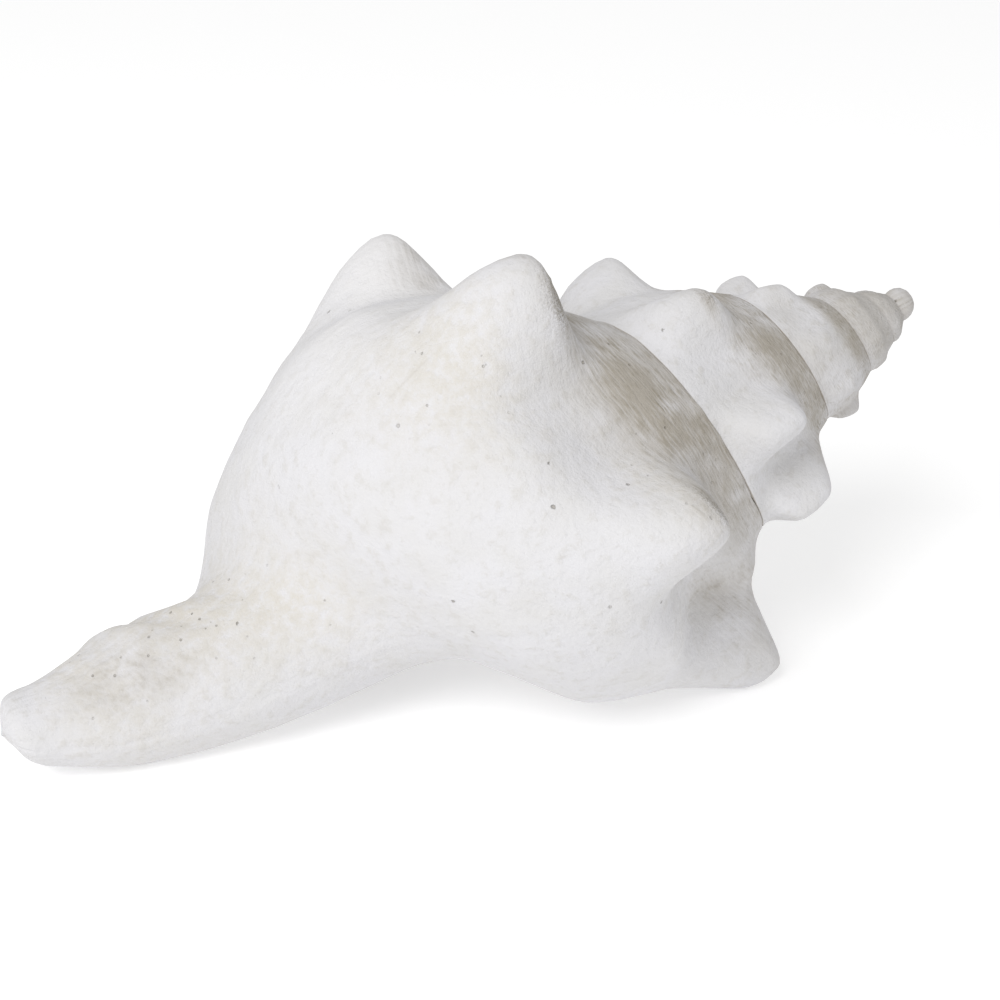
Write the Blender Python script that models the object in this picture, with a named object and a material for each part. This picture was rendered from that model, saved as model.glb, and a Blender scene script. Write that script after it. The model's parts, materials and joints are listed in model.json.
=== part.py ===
"""A conch shell, 260 mm along its axis, lying on a table with its mouth down. Metres, +Z up.

The shell is a widening tube coiled round an axis. Its outside is one outline in a half-plane that holds the axis,
and the half-plane swings round the axis while the outline grows. Turns are counted from the top of the largest
whorl: the lip is at LIP_TURN, and smaller turns lie nearer the apex. An outline runs from the suture over the
ramp, the shoulder and the flank. On the largest whorl it goes on to the waist, the canal and the canal's tip.
Points of it are (distance from the axis, height below the apex as a negative number), in shares of the length.
"""

import math

import bmesh
import bpy
import numpy as np

# Driving dimensions
SHELL_LENGTH = 0.260
AXIS_TILT = math.radians(17.0)
APEX_HEIGHT = 0.3395

# How the coil grows, in shares of the length at turn 0
SUTURE_RADIUS = 0.158
GROWTH_PER_TURN = 1.843
SUTURE_DROP = 2.136
SPIRE_SINK, SINK_FROM_TURN, SINK_TURNS = 0.0127, -0.345, 1.46
SUTURE_SHIFTS = [(0.10, 0.15, -0.034), (-0.34, 0.09, 0.011)]
SPIRE_WIDENING, WIDE_FROM_TURN, WIDE_TURNS = 0.008, -1.60, 0.90
LIP_TURN = 0.326
SPIRE_TURNS = 4.3

# The outline of a whorl, in suture radii
RAMP_CROWN = 0.068
SHOULDER_RADIUS, SPIRE_SHOULDER_RADIUS = 1.30, 1.42
SHOULDER_DROP, SPIRE_SHOULDER_DROP = 2.876, 3.076
SPIRE_FROM_TURN, SPIRE_BLEND_TURNS = -0.50, 0.30

# The largest whorl below its shoulder at turn 0, in shares of the length, and how each changes over a turn
FLANK_BULGE = (0.036, 0.020)
WAIST_RADIUS, WAIST_RADIUS_CHANGE = 0.180, -0.083
WAIST_DROP, WAIST_DROP_CHANGE = 0.655, 0.430
ROOT_RADIUS, ROOT_RADIUS_CHANGE = 0.085, -0.071
ROOT_DROP, ROOT_DROP_CHANGE, ROOT_DROP_MOST = 0.736, 0.395, 0.800
CANAL_RADIUS = 0.076
CANAL_NARROW_RADIUS, CANAL_NARROW_DROP = 0.043, 0.957
CANAL_END_RADIUS, CANAL_END_DROP = 0.034, 0.985
CANAL_MEETS_DROP, CANAL_MEETS_TURNS = 0.850, 0.20

# The pillar that the mouth shows on its inner side, where the largest whorl begins
PARIETAL = (0.150, -0.540)
PILLAR = (0.062, -0.700)
PARIETAL_TURNS, FLANK_FREE_TURNS = 0.16, 0.25

# The canal bends off the axis: sideways shifts (up, towards the front) half way down and at its tip
BEND_START, BEND_LENGTH = 0.42, 0.43
BEND_SHIFT = (-0.041, -0.014)
TIP_BEND_START = 0.80
TIP_SHIFT = (0.008, -0.003)

# Knobs on the shoulder: (turn, height in suture radii, half width in turns, reach up the ramp in stations)
KNOBS = [
    (0.264, 0.40, 0.076, 1.3),
    (0.146, 0.59, 0.076, 1.3),
    (-0.049, 0.57, 0.076, 1.1),
    (-0.225, 0.63, 0.076, 1.3),
    (-0.432, 1.02, 0.076, 1.3),
    (-0.633, 0.50, 0.076, 1.3),
    (-0.854, 0.62, 0.084, 1.3),
    (-1.053, 0.44, 0.076, 1.3),
    (-1.219, 0.61, 0.066, 1.3),
    (-1.349, 0.73, 0.066, 1.7),
    (-1.520, 0.40, 0.076, 1.3),
    (-1.690, 0.60, 0.076, 1.3),
    (-1.850, 0.73, 0.070, 1.3),
    (-1.994, 0.35, 0.066, 1.3),
    (-2.150, 0.16, 0.080, 1.3),
    (-2.290, 0.20, 0.070, 1.3),
    (-2.439, 0.52, 0.070, 1.3),
    (-2.600, 0.20, 0.076, 1.3),
    (-2.740, 0.30, 0.070, 1.3),
    (-2.878, 0.49, 0.070, 1.3),
]
SPIRE_KNOB_FIRST, SPIRE_KNOB_STEP, SPIRE_KNOB = -3.050, 0.170, (0.26, 0.080, 1.3)
KNOB_SHARPNESS = 1.55
KNOB_LEAN = math.radians(24.0)
KNOB_FLANK_REACH = 2.2
KNOB_RAMP_FADE, KNOB_FLANK_FADE = 1.6, 2.2
KNOB_STOP_REACH, KNOB_START_REACH = 0.45, 0.25

# The keel that joins the knobs of the small whorls, in suture radii
KEEL_HEIGHT, KEEL_FROM_TURN, KEEL_TURNS = 0.18, -1.90, 0.80
FIRST_TURN, SMOOTH_START_TURNS = LIP_TURN - 1.0 - SPIRE_TURNS, 0.60

# Broad swellings: (turn, station, reach in turns, reach in stations, height in shares of the length)
SWELLINGS = [
    (-0.395, 1.15, 0.060, 0.55, 0.020),
]

# The apex is worn to a dome round this point (up, front, along the axis)
WORN_APEX_CENTRE = (0.006, 0.0, -0.033)
WORN_APEX_RADIUS, WORN_APEX_BLEND, WORN_APEX_RELIEF = 0.0158, 0.014, 0.12
APEX_RINGS = 4

# The mouth and the hollow behind it
LIP_THICKNESS = 0.017
PILLAR_COVER = 0.010
MOST_COVER_SHARE = 0.42
MOUTH_FROM, MOUTH_TO = 0.10, 0.86
HOLLOW_TURNS = 0.58
HOLLOW_STEPS = 13
HOLLOW_END = 0.22

# Mesh density. Stations along an outline are numbered 0 to 9, three rows of faces between each two.
COLUMNS_PER_TURN = 60
ROWS_PER_STATION = 3
SHOULDER_STATION, ATTACH_STATION, CLOSED_STATION, TIP_STATION = 2, 3, 6, 9

SMOOTH_ANGLE = math.radians(40.0)
TABLE_CUT_SIZE = 1.0
CHALK_COLOUR = (0.84, 0.83, 0.82, 1.0)
CHALK_ROUGHNESS = 0.92


def clear_scene():
    for obj in list(bpy.data.objects):
        bpy.data.objects.remove(obj, do_unlink=True)


def smoothstep(x):
    x = np.clip(x, 0.0, 1.0)
    return x * x * (3.0 - 2.0 * x)


def suture_radius(turn):
    return SUTURE_RADIUS * GROWTH_PER_TURN**turn


def pair(radius, height):
    """Outline points from two arrays or numbers."""
    return np.stack(np.broadcast_arrays(radius, height), axis=-1)


def mix(first, second, share):
    return first + (second - first) * np.asarray(share)[..., None]


def spire_sink(turn):
    """How much further down the axis the spire's whorls lie than their growth alone would put them."""
    return SPIRE_SINK * smoothstep((SINK_FROM_TURN - turn) / SINK_TURNS)


def spire_widening(turn):
    return SPIRE_WIDENING * smoothstep((WIDE_FROM_TURN - turn) / WIDE_TURNS)


def suture_point(turn):
    size = suture_radius(turn)
    radius = size + spire_widening(turn)
    for centre, reach, shift in SUTURE_SHIFTS:
        radius = radius + shift * np.exp(-(((turn - centre) / reach) ** 2))
    return pair(radius, -SUTURE_DROP * size - spire_sink(turn))


def stations(turn):
    """The ten points that the outline at each turn passes through, as an array (turns, 10, 2)."""
    begin = LIP_TURN - 1.0
    size = suture_radius(turn)
    in_body = np.clip(turn, begin, LIP_TURN)
    suture = suture_point(turn)
    spire = smoothstep((SPIRE_FROM_TURN - turn) / SPIRE_BLEND_TURNS)
    shoulder_radius = (SHOULDER_RADIUS + (SPIRE_SHOULDER_RADIUS - SHOULDER_RADIUS) * spire) * size
    shoulder_drop = (SHOULDER_DROP + (SPIRE_SHOULDER_DROP - SHOULDER_DROP) * spire) * size
    shoulder = pair(shoulder_radius + spire_widening(turn), -shoulder_drop - spire_sink(turn))
    ramp = 0.5 * (suture + shoulder) + pair(0.5 * RAMP_CROWN * size, RAMP_CROWN * size)
    attach = suture_point(turn + 1.0)
    waist = pair(WAIST_RADIUS + WAIST_RADIUS_CHANGE * in_body, -WAIST_DROP - WAIST_DROP_CHANGE * in_body)
    flank = 0.5 * (shoulder + waist) + np.array(FLANK_BULGE)
    flank = mix(flank, attach, smoothstep((begin + FLANK_FREE_TURNS - turn) / FLANK_FREE_TURNS))
    root_drop = np.minimum(ROOT_DROP + ROOT_DROP_CHANGE * in_body, ROOT_DROP_MOST)
    root = pair(ROOT_RADIUS + ROOT_RADIUS_CHANGE * in_body, -root_drop)
    parietal = smoothstep((begin + PARIETAL_TURNS - turn) / PARIETAL_TURNS)
    waist = mix(waist, np.array(PARIETAL), parietal)
    root = mix(root, np.array(PILLAR), parietal)
    canal = pair(CANAL_RADIUS, 0.5 * (root[..., 1] - CANAL_NARROW_DROP))
    from_lip = np.minimum(in_body - begin, LIP_TURN - in_body)
    meets = smoothstep(1.0 - from_lip / CANAL_MEETS_TURNS)
    canal = mix(canal, pair(CANAL_RADIUS, -CANAL_MEETS_DROP), meets)
    narrow = pair(CANAL_NARROW_RADIUS, -CANAL_NARROW_DROP + 0 * size)
    end = pair(CANAL_END_RADIUS, -CANAL_END_DROP + 0 * size)
    tip = pair(0.0, -1.0 + 0 * size)
    return np.stack([suture, ramp, shoulder, flank, waist, root, canal, narrow, end, tip], axis=1)


def smooth_curve(points, along):
    """A smooth curve through each row of points, read at the places along, where n is the nth point."""
    length = np.linalg.norm(np.diff(points, axis=1), axis=-1, keepdims=True)
    slope = np.diff(points, axis=1) / length
    tangent = np.empty_like(points)
    before, after = length[:, :-1], length[:, 1:]
    tangent[:, 1:-1] = (slope[:, :-1] * after + slope[:, 1:] * before) / (before + after)
    tangent[:, 0], tangent[:, -1] = slope[:, 0], slope[:, -1]
    index = np.minimum(along.astype(int), points.shape[1] - 2)
    s = (along - index)[None, :, None]
    reach = length[:, index]
    start = (2 * s**3 - 3 * s**2 + 1) * points[:, index] + (s**3 - 2 * s**2 + s) * tangent[:, index] * reach
    return start + (3 * s**2 - 2 * s**3) * points[:, index + 1] + (s**3 - s**2) * tangent[:, index + 1] * reach


def all_knobs():
    knobs = list(KNOBS)
    turn = SPIRE_KNOB_FIRST
    while turn > FIRST_TURN:
        knobs.append((turn, *SPIRE_KNOB))
        turn -= SPIRE_KNOB_STEP
    return np.array(knobs)


def knob_push(turn, along):
    """How far the knobs stand out, (turns, places): steep up the ramp, long down the flank."""
    knob_turn, height, half_width, ramp_reach = all_knobs().T
    away = np.clip((turn[:, None] - knob_turn) / half_width, -1.0, 1.0)
    bump = (0.5 + 0.5 * np.cos(math.pi * away)) ** KNOB_SHARPNESS * height
    place = along - SHOULDER_STATION
    above = (0.5 + 0.5 * np.cos(math.pi * np.clip(place / ramp_reach[:, None], -1.0, 0.0))) ** KNOB_RAMP_FADE
    below = (0.5 + 0.5 * np.cos(math.pi * np.clip(place / KNOB_FLANK_REACH, 0.0, 1.0))) ** KNOB_FLANK_FADE
    share = np.where(place < 0, above, below)
    keel = KEEL_HEIGHT * smoothstep((KEEL_FROM_TURN - turn) / KEEL_TURNS)
    push = np.maximum((bump[:, :, None] * share[None]).max(axis=1), keel[:, None] * share[-1])
    begun = smoothstep((turn - FIRST_TURN) / SMOOTH_START_TURNS)
    return push * (begun * suture_radius(turn))[:, None]


def swelling_push(turn, along):
    total = 0.0
    for centre, station, reach, station_reach, height in SWELLINGS:
        round_axis = ((turn[:, None] - centre) / reach) ** 2
        total = total + height * np.exp(-round_axis - ((along[None] - station) / station_reach) ** 2)
    return total


def outlines(turn, along):
    """Outline points (turns, places, 2) with the knobs on them, which end at the next whorl's suture."""
    outline = smooth_curve(stations(turn), along)
    push = knob_push(turn, along) + swelling_push(turn, along)
    buried = smoothstep((LIP_TURN - 1.0 + FLANK_FREE_TURNS - turn) / FLANK_FREE_TURNS)[:, None]
    before_suture = smoothstep((ATTACH_STATION - along) / KNOB_STOP_REACH)[None] * smoothstep(along / KNOB_START_REACH)
    push = push * (1.0 - buried * (1.0 - before_suture))
    return outline + push[..., None] * np.array([math.cos(KNOB_LEAN), math.sin(KNOB_LEAN)])


def wear_apex(points):
    """Wears the top whorls to a blunt dome. Points are (up, front, along the axis)."""
    away = points - np.array(WORN_APEX_CENTRE)
    distance = np.maximum(np.linalg.norm(away, axis=-1, keepdims=True), 1e-9)
    worn = WORN_APEX_RADIUS * (distance / WORN_APEX_RADIUS) ** WORN_APEX_RELIEF
    share = smoothstep(away[..., 2:] / WORN_APEX_BLEND + 1.0)
    return points + away * (worn / distance - 1.0) * share


def apex_ring(edge, share):
    """A ring of the worn dome: the edge's points drawn round the dome towards the apex by the share."""
    away = edge - np.array(WORN_APEX_CENTRE)
    distance = np.linalg.norm(away, axis=1, keepdims=True)
    way = (1.0 - share) * away / distance + share * np.array([0.0, 0.0, 1.0])
    way /= np.linalg.norm(way, axis=1, keepdims=True)
    return np.array(WORN_APEX_CENTRE) + way * (distance + (WORN_APEX_RADIUS - distance) * smoothstep(share))


def bend_canal(points):
    """Shifts points (up, front, along the axis) sideways by how far down the canal they lie."""
    down = smoothstep((-points[..., 2] - BEND_START) / BEND_LENGTH)
    tip = np.clip((-points[..., 2] - TIP_BEND_START) / (1.0 - TIP_BEND_START), 0.0, 1.0) ** 2
    for side in (0, 1):
        points[..., side] += BEND_SHIFT[side] * down * (1.0 - tip) + TIP_SHIFT[side] * tip
    return points


def swing(outline, turn):
    """Swings outline points round the axis to their turns, in shares of the length."""
    angle = -2.0 * math.pi * turn
    up = outline[..., 0] * np.cos(angle)[..., None]
    front = outline[..., 0] * np.sin(angle)[..., None]
    return bend_canal(wear_apex(np.stack([up, front, outline[..., 1]], axis=-1)))


def lay_down(points):
    """Turns points (up, front, along the axis) into metres, with the shell lying as it rests."""
    up = np.array([-math.sin(AXIS_TILT), 0.0, math.cos(AXIS_TILT)])
    front = np.array([0.0, -1.0, 0.0])
    apex = np.array([math.cos(AXIS_TILT), 0.0, math.sin(AXIS_TILT)])
    laid = points[..., :1] * up + points[..., 1:2] * front + points[..., 2:] * apex
    return (laid + np.array([0.0, 0.0, APEX_HEIGHT])) * SHELL_LENGTH


def arc_shares(points):
    run = np.concatenate([[0.0], np.cumsum(np.linalg.norm(np.diff(points, axis=0), axis=1))])
    return run / run[-1]


def inset_edge(edge, other, cover):
    """Each point of one edge of the mouth moved towards the other edge by the cover, with the points' shares."""
    shares, other_shares = arc_shares(edge), arc_shares(other)
    facing = np.stack([np.interp(shares, other_shares, other[:, k]) for k in (0, 1)], axis=-1)
    gap = facing - edge
    width = np.maximum(np.linalg.norm(gap, axis=1), 1e-6)
    return edge + gap * np.minimum(cover / width, MOST_COVER_SHARE)[:, None], shares


class ShellMesh:
    """Collects the shell's corners and faces by column and row."""

    def __init__(self):
        self.mesh = bmesh.new()
        self.columns = round((SPIRE_TURNS + 1.0) * COLUMNS_PER_TURN)
        self.body_start = self.columns - COLUMNS_PER_TURN
        self.attach_row = ATTACH_STATION * ROWS_PER_STATION
        self.closed_row = CLOSED_STATION * ROWS_PER_STATION
        self.tip_row = TIP_STATION * ROWS_PER_STATION
        self.turns = LIP_TURN + (np.arange(self.columns + 1) - self.columns) / COLUMNS_PER_TURN
        self.along = np.arange(self.tip_row + 1) / ROWS_PER_STATION
        self.corners = {}

    def place(self, points):
        return [self.mesh.verts.new(co) for co in lay_down(points)]

    def face(self, *corners):
        """Adds a face, dropping corners that are the same one."""
        kept = [c for k, c in enumerate(corners) if c is not corners[k - 1]]
        if len(kept) > 2:
            self.mesh.faces.new(kept)

    def corner(self, column, row):
        """A row past the suture of the next whorl is that whorl's first row, and the canal closes on itself."""
        if column <= self.body_start and row == self.attach_row:
            return self.corners[column + COLUMNS_PER_TURN, 0]
        if row == self.tip_row:
            return self.tip
        if column == self.columns and row >= self.closed_row:
            return self.corners[self.body_start, row]
        return self.corners[column, row]

    def add_corners(self):
        points = swing(outlines(self.turns, self.along), self.turns)
        self.tip = self.place(points[-1:, -1])[0]
        for column in range(self.columns + 1):
            last = self.attach_row if column < self.body_start else self.tip_row
            corners = self.place(points[column, :last])
            for row, made in enumerate(corners):
                self.corners[column, row] = made
        self.apex_edge = np.concatenate([points[:COLUMNS_PER_TURN, 0], points[0, self.attach_row : 0 : -1]])

    def add_outside(self):
        for column in range(self.columns):
            last = self.attach_row if column < self.body_start else self.tip_row
            for row in range(last):
                near = [self.corner(column, row), self.corner(column, row + 1)]
                far = [self.corner(column + 1, row + 1), self.corner(column + 1, row)]
                self.face(*near, *far)
        self.add_apex()

    def add_apex(self):
        """Closes the first whorl with rings that shrink to the apex."""
        last = [self.corner(column, 0) for column in range(COLUMNS_PER_TURN)]
        last += [self.corner(0, row) for row in range(self.attach_row, 0, -1)]
        for ring in range(1, APEX_RINGS):
            corners = self.place(apex_ring(self.apex_edge, ring / APEX_RINGS))
            for k in range(len(last)):
                self.face(last[k - 1], last[k], corners[k], corners[k - 1])
            last = corners
        apex = self.place(apex_ring(self.apex_edge[:1], 1.0))[0]
        for k in range(len(last)):
            self.face(last[k - 1], last[k], apex)

    def add_mouth(self):
        lip = outlines(np.array([LIP_TURN]), self.along)[0]
        pillar = outlines(np.array([LIP_TURN - 1.0]), self.along)[0]
        outer_rows = np.arange(0, self.closed_row + 1)
        inner_rows = np.arange(self.attach_row, self.closed_row + 1)
        outer, outer_shares = inset_edge(lip[outer_rows], pillar[inner_rows], LIP_THICKNESS)
        inner, inner_shares = inset_edge(pillar[inner_rows], lip[outer_rows], PILLAR_COVER)
        kept_outer = (outer_shares > MOUTH_FROM) & (outer_shares < MOUTH_TO)
        kept_inner = (inner_shares > MOUTH_FROM) & (inner_shares < MOUTH_TO)
        outer_rows, inner_rows = outer_rows[kept_outer], inner_rows[kept_inner]
        opening = np.concatenate([outer[kept_outer], inner[kept_inner][::-1]])
        first = self.add_hollow(opening)
        outer_ring, inner_ring = first[: len(outer_rows)], first[len(outer_rows) :][::-1]
        for rows, ring, column in ((outer_rows, outer_ring, self.columns), (inner_rows, inner_ring, self.body_start)):
            for k in range(len(rows) - 1):
                self.face(self.corner(column, rows[k]), self.corner(column, rows[k + 1]), ring[k + 1], ring[k])
        top = [self.corner(self.columns, row) for row in range(0, outer_rows[0] + 1)] + [outer_ring[0], inner_ring[0]]
        top += [self.corner(self.body_start, row) for row in range(inner_rows[0], self.attach_row, -1)]
        foot = [self.corner(self.columns, row) for row in range(outer_rows[-1], self.closed_row + 1)]
        foot += [self.corner(self.body_start, row) for row in range(self.closed_row - 1, inner_rows[-1] - 1, -1)]
        self.face(*top)
        self.face(*foot, inner_ring[-1], outer_ring[-1])

    def add_hollow(self, opening):
        """The hollow runs back up the whorl from the opening, smaller by the growth and tapering besides."""
        centre = opening.mean(axis=0)
        rings = []
        for step in range(HOLLOW_STEPS + 1):
            back = HOLLOW_TURNS * step / HOLLOW_STEPS
            narrowing = 1.0 - (1.0 - HOLLOW_END) * (step / HOLLOW_STEPS) ** 2
            ring = (centre + (opening - centre) * narrowing) * GROWTH_PER_TURN**-back
            rings.append(self.place(swing(ring[None], np.array([LIP_TURN - back]))[0]))
        for near, far in zip(rings, rings[1:]):
            for k in range(len(near)):
                self.face(near[k - 1], near[k], far[k], far[k - 1])
        self.face(*rings[-1])
        return rings[0]

    def finish(self, name):
        """Makes the object, with the middle of its box over the origin."""
        bmesh.ops.triangulate(self.mesh, faces=self.mesh.faces)
        bmesh.ops.recalc_face_normals(self.mesh, faces=self.mesh.faces)
        places = np.array([v.co for v in self.mesh.verts])
        middle = 0.5 * (places.min(axis=0) + places.max(axis=0))
        bmesh.ops.translate(self.mesh, verts=self.mesh.verts, vec=(-middle[0], -middle[1], 0.0))
        data = bpy.data.meshes.new(name)
        self.mesh.to_mesh(data)
        self.mesh.free()
        data.shade_smooth()
        data.set_sharp_from_angle(angle=SMOOTH_ANGLE)
        obj = bpy.data.objects.new(name, data)
        bpy.context.scene.collection.objects.link(obj)
        return obj


def chalk_material():
    """Old shell bleached to a matt chalky white."""
    material = bpy.data.materials.new("chalky_shell")
    material.use_nodes = True
    shader = material.node_tree.nodes["Principled BSDF"]
    shader.inputs["Base Color"].default_value = CHALK_COLOUR
    shader.inputs["Roughness"].default_value = CHALK_ROUGHNESS
    shader.inputs["Metallic"].default_value = 0.0
    return material


def cut_flat_on_table(shell):
    """Wears the shell flat where it touches the table, so that it rests on small faces and not on points."""
    bpy.ops.mesh.primitive_cube_add(size=TABLE_CUT_SIZE, location=(0.0, 0.0, -0.5 * TABLE_CUT_SIZE))
    cutter = bpy.context.object
    cutter.name = "table_cutter"
    cutter.hide_render = True
    cutter.display_type = "WIRE"
    cut = shell.modifiers.new("worn_flat", "BOOLEAN")
    cut.operation = "DIFFERENCE"
    cut.solver = "EXACT"
    cut.object = cutter


def main():
    clear_scene()
    builder = ShellMesh()
    builder.add_corners()
    builder.add_outside()
    builder.add_mouth()
    shell = builder.finish("shell")
    shell.data.materials.append(chalk_material())
    cut_flat_on_table(shell)


main()
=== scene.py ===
"""The looks of an old conch shell: one fine mesh with a chalky finish, a pale floor, light and camera.

The surface follows the same rules as the solid. One outline in a half-plane that holds the axis swings
round the axis while it grows. Turns are counted from the top of the largest whorl, and smaller turns lie
nearer the apex. An outline runs from the suture (station 0) over the ramp, the shoulder (2) and the
flank (3) to the waist (4), the canal (6) and the canal's tip (9). Lengths are in shares of the shell's
length, unless a name ends in MM or a comment says otherwise. Points are (up, front, along the axis) until
lay_down turns them into metres.
"""

import json
import math

import bpy
import numpy as np
from mathutils import Matrix, Vector

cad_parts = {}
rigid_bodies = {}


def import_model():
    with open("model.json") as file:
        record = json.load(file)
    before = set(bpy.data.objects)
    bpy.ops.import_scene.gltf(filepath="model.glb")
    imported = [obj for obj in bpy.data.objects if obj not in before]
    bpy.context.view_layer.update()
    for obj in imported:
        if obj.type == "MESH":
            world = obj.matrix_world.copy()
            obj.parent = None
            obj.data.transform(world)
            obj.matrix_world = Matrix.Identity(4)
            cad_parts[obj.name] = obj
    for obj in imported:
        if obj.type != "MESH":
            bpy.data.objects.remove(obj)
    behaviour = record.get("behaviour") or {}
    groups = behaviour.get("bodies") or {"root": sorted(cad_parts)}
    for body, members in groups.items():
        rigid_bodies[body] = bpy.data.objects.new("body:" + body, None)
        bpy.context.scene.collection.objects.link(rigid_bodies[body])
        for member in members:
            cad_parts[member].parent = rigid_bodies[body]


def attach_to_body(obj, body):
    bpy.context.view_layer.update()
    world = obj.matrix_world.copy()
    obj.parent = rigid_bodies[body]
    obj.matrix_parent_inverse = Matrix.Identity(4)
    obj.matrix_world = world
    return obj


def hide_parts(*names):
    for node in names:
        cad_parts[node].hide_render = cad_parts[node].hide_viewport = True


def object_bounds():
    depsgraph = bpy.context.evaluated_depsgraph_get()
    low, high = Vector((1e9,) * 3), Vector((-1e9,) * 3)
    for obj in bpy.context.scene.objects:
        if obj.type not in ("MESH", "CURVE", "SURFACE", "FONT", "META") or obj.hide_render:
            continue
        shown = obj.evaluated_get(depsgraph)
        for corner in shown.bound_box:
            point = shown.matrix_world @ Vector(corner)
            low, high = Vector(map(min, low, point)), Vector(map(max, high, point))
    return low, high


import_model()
CAD_LOW, CAD_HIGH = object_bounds()

# The shell's driving dimensions, as in its solid. SHELL_LENGTH is in metres. SUTURE_DROP, RAMP_CROWN and the
# four numbers of the shoulder are in suture radii.
SHELL_LENGTH = 0.260
AXIS_TILT = math.radians(17.0)
APEX_HEIGHT = 0.3395
SUTURE_RADIUS = 0.158
GROWTH_PER_TURN = 1.843
SUTURE_DROP = 2.136
SPIRE_SINK, SINK_FROM_TURN, SINK_TURNS = 0.0127, -0.345, 1.46
LIP_TURN = 0.326
SPIRE_TURNS = 4.3
RAMP_CROWN = 0.068
SHOULDER_RADIUS, SPIRE_SHOULDER_RADIUS = 1.30, 1.42
SHOULDER_DROP, SPIRE_SHOULDER_DROP = 2.876, 3.076
SPIRE_FROM_TURN, SPIRE_BLEND_TURNS = -0.50, 0.30
# Where the suture is shifted outwards or inwards: (turn, reach in turns, shift)
SUTURE_SHIFTS = [(0.10, 0.15, -0.034), (-0.34, 0.09, 0.011)]
SPIRE_WIDENING, WIDE_FROM_TURN, WIDE_TURNS = 0.008, -1.60, 0.90
FLANK_BULGE = (0.036, 0.020)
WAIST_RADIUS, WAIST_RADIUS_CHANGE = 0.180, -0.083
WAIST_DROP, WAIST_DROP_CHANGE = 0.655, 0.430
ROOT_RADIUS, ROOT_RADIUS_CHANGE = 0.085, -0.071
ROOT_DROP, ROOT_DROP_CHANGE, ROOT_DROP_MOST = 0.736, 0.395, 0.800
CANAL_RADIUS = 0.076
CANAL_NARROW_RADIUS, CANAL_NARROW_DROP = 0.043, 0.957
CANAL_END_RADIUS, CANAL_END_DROP = 0.034, 0.985
CANAL_MEETS_DROP, CANAL_MEETS_TURNS = 0.850, 0.20
PARIETAL = (0.150, -0.540)
PILLAR = (0.062, -0.700)
PARIETAL_TURNS, FLANK_FREE_TURNS = 0.16, 0.25
BEND_START, BEND_LENGTH = 0.42, 0.43
BEND_SHIFT = (-0.041, -0.014)
TIP_BEND_START = 0.80
TIP_SHIFT = (0.008, -0.003)

# Knobs on the shoulder: (turn, height in suture radii, half width in turns, reach up the ramp in stations).
# The visible ones were fitted to their tips in the photograph, and the others are guesses.
KNOBS = [
    (0.264, 0.40, 0.076, 1.3),
    (0.146, 0.59, 0.076, 1.3),
    (-0.049, 0.57, 0.076, 1.1),
    (-0.225, 0.63, 0.076, 1.3),
    (-0.432, 1.02, 0.076, 1.3),
    (-0.633, 0.50, 0.076, 1.3),
    (-0.854, 0.62, 0.084, 1.3),
    (-1.053, 0.44, 0.076, 1.3),
    (-1.219, 0.61, 0.066, 1.3),
    (-1.349, 0.73, 0.066, 1.7),
    (-1.520, 0.40, 0.076, 1.3),
    (-1.690, 0.60, 0.076, 1.3),
    (-1.850, 0.73, 0.070, 1.3),
    (-1.994, 0.35, 0.066, 1.3),
    (-2.150, 0.16, 0.080, 1.3),
    (-2.290, 0.20, 0.070, 1.3),
    (-2.439, 0.52, 0.070, 1.3),
    (-2.600, 0.20, 0.076, 1.3),
    (-2.740, 0.30, 0.070, 1.3),
    (-2.878, 0.49, 0.070, 1.3),
]
SPIRE_KNOB_FIRST, SPIRE_KNOB_STEP, SPIRE_KNOB = -3.050, 0.170, (0.26, 0.080, 1.3)
# Broad swellings: (turn, station, reach in turns, reach in stations, height in shares of the length)
SWELLINGS = [
    (-0.395, 1.15, 0.060, 0.55, 0.020),
]
KNOB_SHARPNESS = 1.55
KEEL_HEIGHT, KEEL_FROM_TURN, KEEL_TURNS = 0.18, -1.90, 0.80
FIRST_TURN, SMOOTH_START_TURNS = LIP_TURN - 1.0 - SPIRE_TURNS, 0.60
KNOB_LEAN = math.radians(24.0)
KNOB_FLANK_REACH = 2.2
KNOB_RAMP_FADE, KNOB_FLANK_FADE = 1.6, 2.2
KNOB_STOP_REACH, KNOB_START_REACH = 0.45, 0.25
WORN_APEX_CENTRE = (0.006, 0.0, -0.033)
WORN_APEX_RADIUS, WORN_APEX_BLEND, WORN_APEX_RELIEF = 0.0158, 0.014, 0.12
APEX_RINGS = 8

# The mouth and the hollow behind it
LIP_THICKNESS = 0.017
PILLAR_COVER = 0.010
MOST_COVER_SHARE = 0.42
MOUTH_FROM, MOUTH_TO = 0.10, 0.86
HOLLOW_TURNS = 0.58
HOLLOW_STEPS, HOLLOW_CROWDING = 26, 1.4
HOLLOW_END = 0.22
LIP_RINGS = 8
LIP_BULGE_TURNS = 0.003

# Mesh density: columns in a turn, and rows between each two stations
COLUMNS_PER_TURN = 300
ROWS = [14, 12, 14, 24, 12, 12, 18, 8, 12]
SHOULDER_STATION, ATTACH_STATION, CLOSED_STATION, TIP_STATION = 2, 3, 6, 9
SUTURE_ROW_CROWDING = 2.2
SEAM_BLEND_TURNS = 0.08

# Relief: dents as (height in mm, width in mm, offset of the noise), and growth lines as (height in mm,
# waves in a turn, waves in a station, offset), which stand out more in dirt and painted shade
DENTS = [(0.55, 19.0, 0.0), (0.30, 7.5, 11.0), (0.10, 3.4, 5.0)]
GROWTH_LINES = [(0.16, 52.0, 1.1, 0.0), (0.07, 190.0, 2.3, 7.0)]
GROWTH_LINES_IN_DIRT = 1.2
# Broken grain as (height in mm, width in mm), and how deep it lies
GRIT, GRIT_DEPTH_MM = [(0.45, 1.9), (0.25, 0.9)], 0.35
SUTURE_DEPTH_MM = 0.30
MM_PER_TURN, MM_PER_STATION = 330.0, 22.0
# How fast relief and markings end over the lip
INSIDE_FADE = 4.0
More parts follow.
